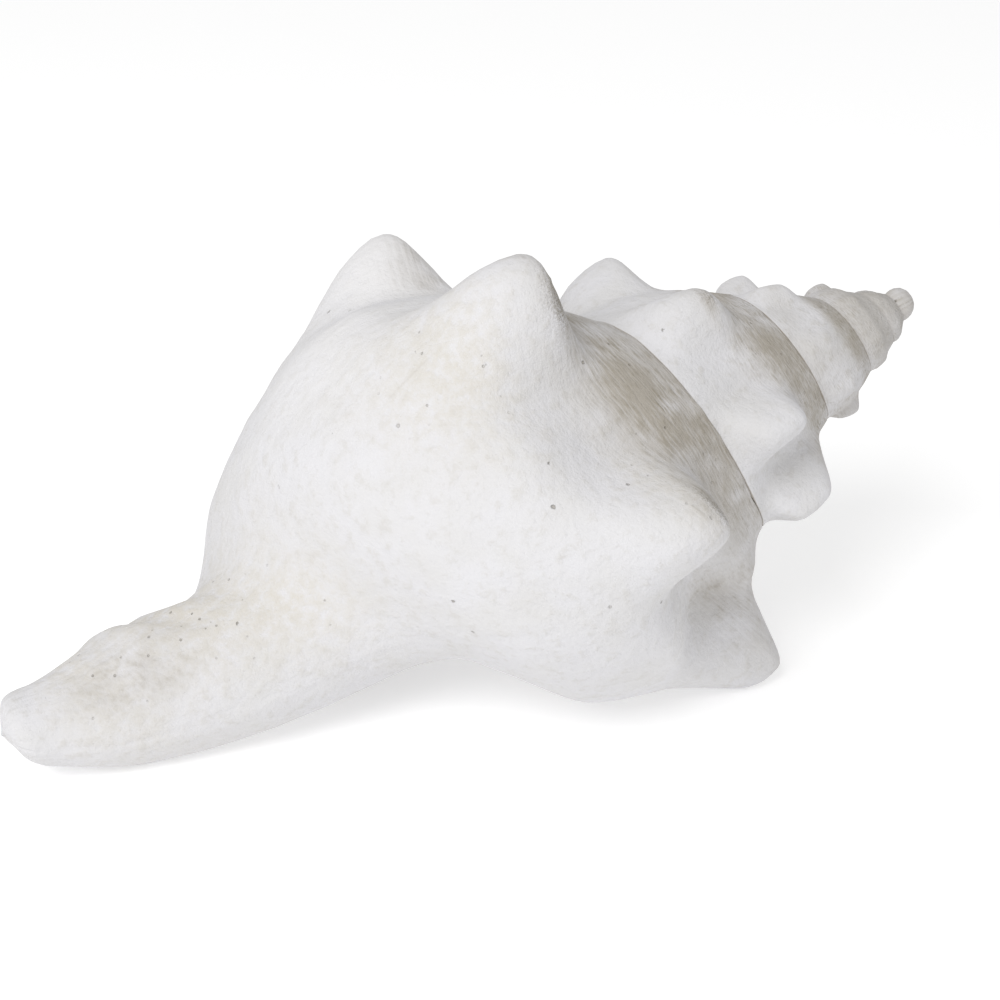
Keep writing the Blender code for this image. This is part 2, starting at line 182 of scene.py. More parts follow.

# Markings, with painted shade among the dirt. Patches are (turn, station, reach in turns, reach in stations,
# strength).
DIRT_AND_SHADE_PATCHES = [
    (-0.135, 0.95, 0.10, 0.75, 1.3),
    (-0.030, 0.90, 0.05, 0.70, 1.1),
    (-0.028, 1.95, 0.022, 0.20, 0.55),
    (-1.110, 0.80, 0.10, 0.80, 1.2),
    (-0.215, 2.03, 0.014, 0.12, 0.6),
    (-0.135, 1.15, 0.05, 0.45, 1.0),
    (-0.095, 0.95, 0.04, 0.40, 0.8),
    (-0.062, 1.75, 0.018, 0.20, 0.9),
    (-0.213, 1.72, 0.020, 0.16, 0.9),
    (-1.060, 1.95, 0.020, 0.16, 0.7),
    (0.110, 1.70, 0.030, 0.35, 0.45),
    # Painted shade: the next three rows darken a shaded hollow of the ramp beside the largest knob and the
    # underside of the canal
    (-0.380, 1.10, 0.060, 0.55, 0.55),
    (-0.090, 6.35, 0.080, 0.45, 0.45),
    (-0.370, 1.70, 0.050, 0.50, 0.55),
    (-0.070, 0.80, 0.030, 0.55, 1.2),
    (-0.086, 1.55, 0.022, 0.25, 0.7),
]
# Dirt on the ramps, which ends before the apex and is weaker on the body away from the visible side
RAMP_DIRT_END, RAMP_DIRT_FADE = 1.75, 1.1
RAMP_DIRT_LAST_TURN, RAMP_DIRT_FADE_TURNS = -3.4, 0.8
BODY_DIRT, BODY_DIRT_TURN, BODY_DIRT_REACH = 0.35, -0.17, 0.22
# Darker colour all over the top of the spire
SPIRE_DARKENING, SPIRE_DARKENING_FROM_TURN, SPIRE_DARKENING_FADE_TURNS = 0.60, -1.75, 0.8
WARM_PATCHES = [
    (-0.07, 3.05, 0.06, 0.55, 0.8),
    (0.00, 5.60, 0.18, 0.75, 1.0),
    (-0.10, 5.30, 0.12, 0.55, 0.9),
    (0.00, 6.60, 0.30, 0.40, 0.7),
    (-0.20, 1.95, 0.05, 0.35, 0.5),
]
# Painted light: lighter patches, placed where the photograph is brighter, that stand in for light falling
# there
PAINTED_LIGHT_PATCHES = [
    (0.125, 2.00, 0.060, 0.90, 1.0),
    (0.035, 3.20, 0.060, 0.60, 0.6),
    (-0.335, 2.85, 0.040, 0.50, 0.5),
]
# The crease at the suture: its width in stations below and above it, and where it ends near the apex
CREASE_BELOW, CREASE_ABOVE = 0.018, 0.012
CREASE_LAST_TURN, CREASE_FADE_TURNS = -4.2, 0.8
# Fine brown marks, as lines of (turn, station)
CRACKS = [
    [(-0.059, 3.02), (-0.057, 3.20), (-0.058, 3.38), (-0.054, 3.57)],
    [(-0.211, 2.97), (-0.206, 3.22), (-0.201, 3.50), (-0.204, 3.72)],
]
CRACK_WIDTH_MM, CRACK_STRENGTH = 0.5, 0.38
# Single pits: (turn, station, radius in mm, depth in mm), each measured from a line as short as a point
POINT_TURNS = 1e-6
PITS = [
    (-0.144, 2.20, 1.4, 1.0),
    (-0.099, 3.30, 0.9, 0.3),
    (-1.346, 2.80, 0.8, 0.6),
]
# Folds across the canal: from (turn, station), to (turn, station), reach in stations, height in mm. They run
# past both ends by a share of their length and fade there.
FOLD_OVERRUN, FOLD_FADE = 0.2, 0.3
FOLDS = [
    ((0.150, 6.00), (-0.050, 5.70), 0.10, -1.1),
    ((0.150, 6.28), (-0.060, 5.98), 0.16, 0.9),
    ((0.110, 5.35), (-0.120, 5.25), 0.10, -0.5),
    ((0.060, 6.75), (-0.160, 6.50), 0.12, -0.5),
]
CHIPPED_PATCHES = [
    (-0.066, 1.80, 0.012, 0.17, 1.0),
    (-0.217, 1.82, 0.012, 0.13, 1.0),
    (-1.058, 1.97, 0.012, 0.12, 0.6),
]

# Colours
CHALK_COOL = (0.672, 0.666, 0.682, 1.0)
# Painted light: the lighter chalk of the patches that stand in for light
PAINTED_LIGHT_CHALK = (0.790, 0.780, 0.785, 1.0)
CHALK_SOFT = (0.655, 0.647, 0.648, 1.0)
CHALK_STAIN = (0.585, 0.570, 0.550, 1.0)
CHALK_WARM = (0.610, 0.580, 0.525, 1.0)
# Dust and deep dirt colours, which also paint shade where the patches hold painted shade
DUST_AND_SHADE_COLOUR = (0.375, 0.345, 0.300, 1.0)
DEEP_DIRT_AND_SHADE_COLOUR = (0.270, 0.240, 0.185, 1.0)
SUTURE_BROWN = (0.270, 0.225, 0.170, 1.0)
PIT_BROWN = (0.230, 0.200, 0.150, 1.0)
MOUTH_CREAM = (0.700, 0.660, 0.620, 1.0)

# The finish. Noises are (width in mm, detail, roughness), and ranges say where a noise, a mask or a distance
# begins to show and where it shows fully.
STREAKS, STREAK_STRETCH = (1.1, 2.0, 0.6), (0.16, 1.0, 1.0)
CLOUDS = (14.0, 2.0, 0.55)
MOTTLE = (3.0, 3.0, 0.62)
GRAINS = (0.6, 1.0, 0.7)
SOFT_RANGE = (0.35, 0.7)
STAIN_RANGE, STAIN_SHARE = (0.50, 0.72), 0.55
# How strongly the painted light lightens the chalk
PAINTED_LIGHT_SHARE = 0.9
WARM_RANGE, WARM_GRAINS, WARM_LEAST = (0.25, 0.6), 0.8, 0.45
DIRT_CLOUD_RANGE, DIRT_CLOUD_SHARE = (0.20, 0.6), 0.70
DIRT_STREAK_RANGE, DIRT_STREAK_SHARE = (0.25, 0.75), 0.42
DEEP_STREAK_RANGE, DEEP_MOTTLE_RANGE, DEEP_SHARE = (0.42, 0.75), (0.40, 0.68), 0.62
GRITTY_RANGE, GRITTY_SHARE = (0.42, 0.62), 0.75
CREASE_RANGE, CREASE_SHARE = (0.15, 0.95), 0.65
# Pits lie in cells this many mm wide. Their own random colour chooses which cells have one.
PIT_CELL_MM, PIT_SPREAD, PIT_CHOICE = 7.0, 7.3, (0.74, 0.98)
PIT_RAGGED, PIT_EDGE, PIT_SHARE = 0.10, (0.135, 0.085), 0.6
SPECK_CELL_MM, SPECK_SPREAD, SPECK_CHOICE = 2.6, 5.7, (0.6, 0.62)
SPECK_EDGE, SPECK_SHARE = (0.16, 0.07), 0.8
SPECKS_IN_WARM, SPECKS_IN_DIRT, SPECK_FIELD_RANGE = 0.5, 0.3, (0.08, 0.5)
PITS_OUTSIDE, CREAM_RANGE, GLOSSY_RANGE, ROUGH_OUTSIDE = (0.2, 0.0), (0.5, 1.0), (0.6, 1.0), (0.7, 0.2)
ROUGHNESS, MOUTH_GLOSS, SPECULAR = 0.93, 0.4, 0.35
# How much each noise adds to the fine bump
BUMP_GRAINS, BUMP_MOTTLE = 0.30, 1.9
BUMP_STREAKS, BUMP_STREAKS_IN_DIRT, BUMP_STREAKS_LEAST = 0.8, 0.9, 0.35
BUMP_PITS, BUMP_GRIT = 2.2, 3.0
BUMP_STRENGTH, BUMP_DISTANCE_M = 0.7, 0.00045

# The floor and the light, in metres and watts
FLOOR_SIZE, FLOOR_GREY, FLOOR_ROUGHNESS, FLOOR_GLOW = 6.0, 0.75, 0.9, 0.40
SKY_STRENGTH = 0.62
KEY_PLACE, KEY_SIZE, KEY_POWER = (-0.72, -0.62, 1.00), 0.7, 10.0
WHITE = (1.0, 1.0, 1.0, 1.0)

# The camera, fitted to the photograph together with the shape, in shares of the shell's length. Its lens is
# assumed, since the photograph doesn't settle it.
CAMERA_AZIMUTH = math.radians(-21.56)
CAMERA_ELEVATION = math.radians(27.02)
CAMERA_ROLL = math.radians(-0.63)
CAMERA_DISTANCE = 2.0308
CAMERA_ASIDE, CAMERA_ABOVE = 0.0133, 0.0084
CAMERA_LENS_MM = 75.9
SENSOR_MM = 36.0


def smoothstep(x):
    """A soft rise from 0 to 1 while x goes from 0 to 1."""
    x = np.clip(x, 0.0, 1.0)
    return x * x * (3.0 - 2.0 * x)


def pair(radius, height):
    """Outline points (..., 2) from radii and heights."""
    return np.stack(np.broadcast_arrays(radius, height), axis=-1)


def mix(first, second, share):
    return first + (second - first) * np.asarray(share)[..., None]


def suture_radius(turn):
    return SUTURE_RADIUS * GROWTH_PER_TURN**turn


def spire_sink(turn):
    """How much further down the axis the spire's whorls lie than their growth alone would put them."""
    return SPIRE_SINK * smoothstep((SINK_FROM_TURN - turn) / SINK_TURNS)


def spire_widening(turn):
    """How much wider the spire's whorls are than their growth alone would make them."""
    return SPIRE_WIDENING * smoothstep((WIDE_FROM_TURN - turn) / WIDE_TURNS)


def suture_point(turn):
    size = suture_radius(turn)
    radius = size + spire_widening(turn)
    for centre, reach, shift in SUTURE_SHIFTS:
        radius = radius + shift * np.exp(-(((turn - centre) / reach) ** 2))
    return pair(radius, -SUTURE_DROP * size - spire_sink(turn))


def stations(turn):
    """The ten points that the outline at each turn passes through, as an array (turns, 10, 2)."""
    begin = LIP_TURN - 1.0
    size = suture_radius(turn)
    in_body = np.clip(turn, begin, LIP_TURN)
    suture = suture_point(turn)
    spire = smoothstep((SPIRE_FROM_TURN - turn) / SPIRE_BLEND_TURNS)
    shoulder_radius = (SHOULDER_RADIUS + (SPIRE_SHOULDER_RADIUS - SHOULDER_RADIUS) * spire) * size
    shoulder_drop = (SHOULDER_DROP + (SPIRE_SHOULDER_DROP - SHOULDER_DROP) * spire) * size
    shoulder = pair(shoulder_radius + spire_widening(turn), -shoulder_drop - spire_sink(turn))
    ramp = 0.5 * (suture + shoulder) + pair(0.5 * RAMP_CROWN * size, RAMP_CROWN * size)
    attach = suture_point(turn + 1.0)
    waist = pair(WAIST_RADIUS + WAIST_RADIUS_CHANGE * in_body, -WAIST_DROP - WAIST_DROP_CHANGE * in_body)
    flank = 0.5 * (shoulder + waist) + np.array(FLANK_BULGE)
    flank = mix(flank, attach, smoothstep((begin + FLANK_FREE_TURNS - turn) / FLANK_FREE_TURNS))
    root_drop = np.minimum(ROOT_DROP + ROOT_DROP_CHANGE * in_body, ROOT_DROP_MOST)
    root = pair(ROOT_RADIUS + ROOT_RADIUS_CHANGE * in_body, -root_drop)
    parietal = smoothstep((begin + PARIETAL_TURNS - turn) / PARIETAL_TURNS)
    waist = mix(waist, np.array(PARIETAL), parietal)
    root = mix(root, np.array(PILLAR), parietal)
    canal = pair(CANAL_RADIUS, 0.5 * (root[..., 1] - CANAL_NARROW_DROP))
    from_lip = np.minimum(in_body - begin, LIP_TURN - in_body)
    meets = smoothstep(1.0 - from_lip / CANAL_MEETS_TURNS)
    canal = mix(canal, pair(CANAL_RADIUS, -CANAL_MEETS_DROP), meets)
    narrow = pair(CANAL_NARROW_RADIUS, -CANAL_NARROW_DROP + 0 * size)
    end = pair(CANAL_END_RADIUS, -CANAL_END_DROP + 0 * size)
    tip = pair(0.0, -1.0 + 0 * size)
    return np.stack([suture, ramp, shoulder, flank, waist, root, canal, narrow, end, tip], axis=1)


def smooth_curve(points, along):
    """A smooth curve through each row of points, read at the places along, where n is the nth point."""
    length = np.linalg.norm(np.diff(points, axis=1), axis=-1, keepdims=True)
    slope = np.diff(points, axis=1) / length
    tangent = np.empty_like(points)
    before, after = length[:, :-1], length[:, 1:]
    tangent[:, 1:-1] = (slope[:, :-1] * after + slope[:, 1:] * before) / (before + after)
    tangent[:, 0], tangent[:, -1] = slope[:, 0], slope[:, -1]
    index = np.minimum(along.astype(int), points.shape[1] - 2)
    s = (along - index)[None, :, None]
    reach = length[:, index]
    first, second = points[:, index], points[:, index + 1]
    leaving, arriving = tangent[:, index], tangent[:, index + 1]
    start = (2 * s**3 - 3 * s**2 + 1) * first + (s**3 - 2 * s**2 + s) * leaving * reach
    return start + (3 * s**2 - 2 * s**3) * second + (s**3 - s**2) * arriving * reach


def all_knobs():
    """The listed knobs, and the small ones that follow them at even steps to the apex."""
    knobs = list(KNOBS)
    turn = SPIRE_KNOB_FIRST
    while turn > FIRST_TURN:
        knobs.append((turn, *SPIRE_KNOB))
        turn -= SPIRE_KNOB_STEP
    return np.array(knobs)


def knob_push(turn, along):
    """How far the knobs stand out, (turns, places): steep up the ramp, long down the flank."""
    knob_turn, height, half_width, ramp_reach = all_knobs().T
    away = np.clip((turn[:, None] - knob_turn) / half_width, -1.0, 1.0)
    bump = (0.5 + 0.5 * np.cos(math.pi * away)) ** KNOB_SHARPNESS * height
    place = along - SHOULDER_STATION
    up_ramp = np.clip(place / ramp_reach[:, None], -1.0, 0.0)
    down_flank = np.clip(place / KNOB_FLANK_REACH, 0.0, 1.0)
    above = (0.5 + 0.5 * np.cos(math.pi * up_ramp)) ** KNOB_RAMP_FADE
    below = (0.5 + 0.5 * np.cos(math.pi * down_flank)) ** KNOB_FLANK_FADE
    share = np.where(place < 0, above, below)
    keel = KEEL_HEIGHT * smoothstep((KEEL_FROM_TURN - turn) / KEEL_TURNS)
    push = np.maximum((bump[:, :, None] * share[None]).max(axis=1), keel[:, None] * share[-1])
    begun = smoothstep((turn - FIRST_TURN) / SMOOTH_START_TURNS)
    return push * (begun * suture_radius(turn))[:, None]


def swelling_push(turn, along):
    """How far the broad swellings stand out, (turns, places)."""
    total = 0.0
    for centre, station, reach, station_reach, height in SWELLINGS:
        round_axis = ((turn[:, None] - centre) / reach) ** 2
        total = total + height * np.exp(-round_axis - ((along[None] - station) / station_reach) ** 2)
    return total


def outlines(turn, along):
    """Outline points (turns, places, 2) with the knobs on them, which end at the next whorl's suture."""
    outline = smooth_curve(stations(turn), along)
    push = knob_push(turn, along) + swelling_push(turn, along)
    buried = smoothstep((LIP_TURN - 1.0 + FLANK_FREE_TURNS - turn) / FLANK_FREE_TURNS)[:, None]
    before_suture = smoothstep((ATTACH_STATION - along) / KNOB_STOP_REACH)[None]
    before_suture = before_suture * smoothstep(along / KNOB_START_REACH)
    push = push * (1.0 - buried * (1.0 - before_suture))
    return outline + push[..., None] * np.array([math.cos(KNOB_LEAN), math.sin(KNOB_LEAN)])


def wear_apex(points):
    """Wears the top whorls to a blunt dome."""
    away = points - np.array(WORN_APEX_CENTRE)
    distance = np.maximum(np.linalg.norm(away, axis=-1, keepdims=True), 1e-9)
    worn = WORN_APEX_RADIUS * (distance / WORN_APEX_RADIUS) ** WORN_APEX_RELIEF
    share = smoothstep(away[..., 2:] / WORN_APEX_BLEND + 1.0)
    return points + away * (worn / distance - 1.0) * share


def apex_ring(edge, share):
    """A ring of the worn dome: the edge's points drawn round the dome towards the apex by the share."""
    away = edge - np.array(WORN_APEX_CENTRE)
    distance = np.linalg.norm(away, axis=1, keepdims=True)
    way = (1.0 - share) * away / distance + share * np.array([0.0, 0.0, 1.0])
    way /= np.linalg.norm(way, axis=1, keepdims=True)
    return np.array(WORN_APEX_CENTRE) + way * (distance + (WORN_APEX_RADIUS - distance) * smoothstep(share))


def bend_canal(points):
    """Shifts points sideways by how far down the canal they lie."""
    down = smoothstep((-points[..., 2] - BEND_START) / BEND_LENGTH)
    tip = np.clip((-points[..., 2] - TIP_BEND_START) / (1.0 - TIP_BEND_START), 0.0, 1.0) ** 2
    for side in (0, 1):
        points[..., side] += BEND_SHIFT[side] * down * (1.0 - tip) + TIP_SHIFT[side] * tip
    return points


def swing(outline, turn):
    """Swings outline points round the axis to their turns, in shares of the length."""
    angle = -2.0 * math.pi * turn
    up = outline[..., 0] * np.cos(angle)[..., None]
    front = outline[..., 0] * np.sin(angle)[..., None]
    return bend_canal(wear_apex(np.stack([up, front, outline[..., 1]], axis=-1)))


def lay_down(points):
    """The points in metres, with the shell lying as it rests and its unworn apex over the origin."""
    up = np.array([-math.sin(AXIS_TILT), 0.0, math.cos(AXIS_TILT)])
    front = np.array([0.0, -1.0, 0.0])
    apex = np.array([math.cos(AXIS_TILT), 0.0, math.sin(AXIS_TILT)])
    laid = points[..., :1] * up + points[..., 1:2] * front + points[..., 2:] * apex
    return (laid + np.array([0.0, 0.0, APEX_HEIGHT])) * SHELL_LENGTH


def row_places():
    """Where the rows lie along an outline. They crowd together at the suture, on both of its sides."""
    places = [0.0]
    for station, count in enumerate(ROWS):
        share = np.arange(1, count + 1) / count
        if station == 0:
            share = share**SUTURE_ROW_CROWDING
        if station == ATTACH_STATION - 1:
            share = 1.0 - (1.0 - share) ** SUTURE_ROW_CROWDING
        places.extend(station + share)
    return np.array(places)


def arc_shares(points):
    """How far along a line each of its points lies, from 0 to 1."""
    run = np.concatenate([[0.0], np.cumsum(np.linalg.norm(np.diff(points, axis=0), axis=1))])
    return run / run[-1]


def inset_edge(edge, other, cover):
    """One edge of the mouth moved towards the other edge by the cover, with its points' arc shares."""
    shares, other_shares = arc_shares(edge), arc_shares(other)
    facing = np.stack([np.interp(shares, other_shares, other[:, k]) for k in (0, 1)], axis=-1)
    gap = facing - edge
    width = np.maximum(np.linalg.norm(gap, axis=1), 1e-6)
    return edge + gap * np.minimum(cover / width, MOST_COVER_SHARE)[:, None], shares


def narrowed(edge, shares):
    """The points of an inset edge spread again between the two ends of the mouth."""
    wanted = MOUTH_FROM + (MOUTH_TO - MOUTH_FROM) * shares
    return np.stack([np.interp(wanted, shares, edge[:, k]) for k in (0, 1)], axis=-1)


class Surface:
    """Collects the surface's points and faces. Points and face corners keep their (turn, place along)."""

    def __init__(self):
        self.columns = round((SPIRE_TURNS + 1.0) * COLUMNS_PER_TURN)
        self.body_start = self.columns - COLUMNS_PER_TURN
        self.turns = LIP_TURN + (np.arange(self.columns + 1) - self.columns) / COLUMNS_PER_TURN
        self.along = row_places()
        self.attach_row = sum(ROWS[:ATTACH_STATION])
        self.closed_row = sum(ROWS[:CLOSED_STATION])
        self.tip_row = sum(ROWS)
        self.points = []
        self.grown = []
        self.inside = []
        self.count = 0
        self.faces = []
        self.corner_grown = []

    def add_points(self, points, grown, inside=0.0):
        """Adds points in shares of the length, and returns their numbers."""
        flat = points.reshape(-1, 3)
        self.points.append(flat)
        self.grown.append(np.broadcast_to(grown, points.shape[:-1] + (2,)).reshape(-1, 2))
        self.inside.append(np.full(len(flat), inside))
        numbers = self.count + np.arange(len(flat))
        self.count += len(flat)
        return numbers.reshape(points.shape[:-1])

    def add_face(self, corners, grown):
        kept = [k for k in range(len(corners)) if corners[k] != corners[k - 1]]
        if len(kept) > 2:
            self.faces.append([int(corners[k]) for k in kept])
            self.corner_grown.extend(grown[k] for k in kept)

    def add_outside(self):
        outline = outlines(self.turns, self.along)
        # Near the lip, the canal's last columns turn into its first column, so the canal closes.
        meeting = smoothstep((self.turns - LIP_TURN + SEAM_BLEND_TURNS) / SEAM_BLEND_TURNS)[:, None]
        meeting = meeting * (self.along >= CLOSED_STATION)
        outline = mix(outline, outline[self.body_start][None], meeting)
        points = swing(outline, self.turns)
        grown = np.stack(np.meshgrid(self.turns, self.along, indexing="ij"), axis=-1)
        own = np.zeros(points.shape[:2], bool)
        own[:, : self.attach_row] = True
        own[self.body_start :, : self.tip_row] = True
        own[self.body_start, self.attach_row] = False
        own[self.columns, self.closed_row :] = False
        self.ids = np.full(points.shape[:2], -1)
        self.ids[own] = self.add_points(points[own], grown[own])
        self.ids[: self.body_start + 1, self.attach_row] = self.ids[COLUMNS_PER_TURN:, 0]
        self.ids[self.columns, self.closed_row :] = self.ids[self.body_start, self.closed_row :]
        self.ids[self.body_start :, self.tip_row] = self.add_points(points[-1:, -1], grown[-1:, -1])[0]
        for column in range(self.columns):
            last = self.attach_row if column < self.body_start else self.tip_row
            for row in range(last):
                spots = [(column, row), (column + 1, row), (column + 1, row + 1), (column, row + 1)]
                self.add_face([self.ids[s] for s in spots], [grown[s] for s in spots])
        self.add_apex(grown)

    def add_apex(self, grown):
        """Closes the first whorl with the rings of a worn dome."""
        spots = [(column, 0) for column in range(COLUMNS_PER_TURN)]
        spots += [(0, row) for row in range(self.attach_row, 0, -1)]
        last = [self.ids[spot] for spot in spots]
        last_grown = [grown[spot] for spot in spots]
        edge = np.concatenate(self.points)[last]
        for ring in range(1, APEX_RINGS):
            ids = self.add_points(apex_ring(edge, ring / APEX_RINGS), grown[0, 0])
            for k in range(len(ids)):
                corners = [last[k], last[k - 1], ids[k - 1], ids[k]]
                self.add_face(corners, [last_grown[k], last_grown[k - 1], last_grown[k - 1], last_grown[k]])
            last = ids
        middle = self.add_points(apex_ring(edge[:1], 1.0), grown[0, 0])[0]
        for k in range(len(last)):
            self.add_face([last[k], last[k - 1], middle], [last_grown[k]] * 3)

    def mouth_edge(self):
        """The edge of the mouth as a closed loop: down the lip and back up the pillar, with its opening."""
        lip = outlines(np.array([LIP_TURN]), self.along)[0]
        pillar = outlines(np.array([LIP_TURN - 1.0]), self.along)[0]
        lip_rows = np.arange(0, self.closed_row + 1)
        pillar_rows = np.arange(self.attach_row, self.closed_row + 1)
        outer = narrowed(*inset_edge(lip[lip_rows], pillar[pillar_rows], LIP_THICKNESS))
        inner = narrowed(*inset_edge(pillar[pillar_rows], lip[lip_rows], PILLAR_COVER))
        back = slice(-2, 0, -1)
        edge = np.concatenate([lip[lip_rows], pillar[pillar_rows][back]])
        opening = np.concatenate([outer, inner[back]])
        ids = np.concatenate([self.ids[self.columns, lip_rows], self.ids[self.body_start, pillar_rows[back]]])
        lip_share = np.sin(math.pi * np.clip(np.arange(len(edge)) / self.closed_row, 0.0, 1.0))
        return edge, opening, ids, lip_share

    def add_mouth(self):
        """Rolls the surface over the lip and down a hollow that narrows as it follows the whorl back.

        These faces are turned the other way from the outside's, which is a known fault.
        """
        edge, opening, last, lip_share = self.mouth_edge()
        place = np.arange(len(edge)) * TIP_STATION / len(edge)
        steps = [(ring / LIP_RINGS, 0.0) for ring in range(1, LIP_RINGS + 1)]
        steps += [(1.0, (ring / HOLLOW_STEPS) ** HOLLOW_CROWDING) for ring in range(1, HOLLOW_STEPS + 1)]
        centre = opening.mean(axis=0)
        last_turn = np.full(len(edge), LIP_TURN)
        for over, deep in steps:
            round_over = math.pi * over
            ring = mix(edge, opening, np.full(len(edge), 0.5 - 0.5 * math.cos(round_over)))
            turn = LIP_TURN + LIP_BULGE_TURNS * math.sin(round_over) * lip_share - HOLLOW_TURNS * deep
            narrowing = 1.0 - (1.0 - HOLLOW_END) * deep**2
            ring = (centre + (ring - centre) * narrowing) * GROWTH_PER_TURN ** (-HOLLOW_TURNS * deep)
            points = swing(ring[:, None], turn)[:, 0]
            grown = np.stack([turn, place], axis=-1)
            ids = self.add_points(points, grown, 0.5 - 0.5 * math.cos(round_over))
            for k in range(len(ids)):
                corners = [last[k - 1], last[k], ids[k], ids[k - 1]]
                self.add_face(corners, [grown[k - 1], grown[k], grown[k], grown[k - 1]])
            last = ids
        middle = self.add_points(points.mean(axis=0)[None], grown[:1], 1.0)[0]
        for k in range(len(last)):
            self.add_face([last[k - 1], last[k], middle], [grown[k - 1], grown[k], grown[k]])

    def made(self, name):
        """The mesh object with the middle of its box over the origin, and the shift that puts it there."""
        points = lay_down(np.concatenate(self.points))
        middle = 0.5 * (points.min(axis=0) + points.max(axis=0))
        shift = np.array([-middle[0], -middle[1], 0.0])
        points += shift
        mesh = bpy.data.meshes.new(name)
        mesh.from_pydata(points.tolist(), [], self.faces)
        mesh.shade_smooth()
        obj = bpy.data.objects.new(name, mesh)
        bpy.context.scene.collection.objects.link(obj)
        return obj, shift


def fit_in_box(points, low, high):
    """Keeps the surface in the solid's box: its feet are worn flat and its sides meet the box."""
    points[:, 2] = np.maximum(points[:, 2], low[2])
    least, most = points.min(axis=0), points.max(axis=0)
    return low + (points - least) * (high - low) / (most - least)


def read_vector(mesh, name):
    values = np.empty(len(mesh.vertices) * 3)
    mesh.vertices.foreach_get(name, values)
    return values.reshape(-1, 3)


def lattice_value(cell):
    """A steady random number from -1 to 1 for each whole-numbered place."""
    mixed = np.sin(cell @ np.array([127.1, 311.7, 74.7])) * 43758.5453
    return 2.0 * (mixed - np.floor(mixed)) - 1.0


def noise(places):
    """Smooth noise from -1 to 1 with features about one unit wide."""
    base = np.floor(places)
    share = smoothstep(places - base)
    total = np.zeros(len(places))
    for corner in range(8):
        offset = np.array([corner & 1, corner >> 1 & 1, corner >> 2 & 1], float)
        weight = np.prod(np.where(offset > 0, share, 1.0 - share), axis=1)
        total += weight * lattice_value(base + offset)
    return total


def patch(turn, along, centre, reach):
    """A soft patch on the surface: centre and reach are (turns, stations)."""
    return np.exp(-(((turn - centre[0]) / reach[0]) ** 2) - ((along - centre[1]) / reach[1]) ** 2)


def stack_patches(turn, along, patches):
    total = np.zeros(len(turn))
    for centre_turn, centre_along, reach_turn, reach_along, strength in patches:
        here = patch(turn, along, (centre_turn, centre_along), (reach_turn, reach_along))
        total = np.maximum(total, strength * here)
    return total


def beside_line(turn, along, line):
    """Distances in mm from a line of (turn, station) corners, on the surface laid flat."""
    place = np.stack([turn * MM_PER_TURN, along * MM_PER_STATION], axis=-1)
    corners = np.array(line) * np.array([MM_PER_TURN, MM_PER_STATION])
    least = np.full(len(turn), 1e9)
    for start, end in zip(corners, corners[1:]):
        way = end - start
        share = np.clip(((place - start) @ way) / (way @ way), 0.0, 1.0)
        least = np.minimum(least, np.linalg.norm(place - start - share[:, None] * way, axis=1))
    return least


def masks(turn, along, inside):
    """How dirty (partly painted shade), warm in tone, chipped, creased and lit by painted light the shell is
    in each place, outside only.
    """
    outside = 1.0 - smoothstep(inside * INSIDE_FADE)
    in_spire = turn < LIP_TURN - 1.0
    beside = np.where(along < ATTACH_STATION, along, TIP_STATION)
    on_ramp = smoothstep((RAMP_DIRT_END - beside) / RAMP_DIRT_FADE)
    on_ramp = on_ramp * smoothstep((turn - RAMP_DIRT_LAST_TURN) / RAMP_DIRT_FADE_TURNS)
    visible = smoothstep(1.0 - np.abs(turn - BODY_DIRT_TURN) / BODY_DIRT_REACH)
    ramp_share = np.where(in_spire, 1.0, BODY_DIRT + (1.0 - BODY_DIRT) * visible)
    # The patches bring painted shade into this mask, beside the dirt
    dirt_and_painted_shade = np.maximum(on_ramp * ramp_share, stack_patches(turn, along, DIRT_AND_SHADE_PATCHES))
    # Darker towards the apex, over the top of the spire
    high_up = smoothstep((SPIRE_DARKENING_FROM_TURN - turn) / SPIRE_DARKENING_FADE_TURNS)
    dirt_and_painted_shade = np.maximum(dirt_and_painted_shade, SPIRE_DARKENING * high_up)
    warm = stack_patches(turn, along, WARM_PATCHES)
    grit = stack_patches(turn, along, CHIPPED_PATCHES)
    crease_above = np.exp(-(((ATTACH_STATION - along) / CREASE_ABOVE) ** 2)) * in_spire
    crease = np.exp(-((beside / CREASE_BELOW) ** 2)) + crease_above
    crease = crease * smoothstep((turn - CREASE_LAST_TURN) / CREASE_FADE_TURNS)
    for line in CRACKS:
        away = beside_line(turn, along, line) / CRACK_WIDTH_MM
        crease = np.maximum(crease, CRACK_STRENGTH * np.exp(-(away**2)))
    # Painted light: patches of lighter chalk in place of light
    painted_light = stack_patches(turn, along, PAINTED_LIGHT_PATCHES)
    found = {"dirt_and_painted_shade": dirt_and_painted_shade, "warm": warm, "grit": grit, "crease": crease, "painted_light": painted_light}
    return {name: share * outside for name, share in found.items()}


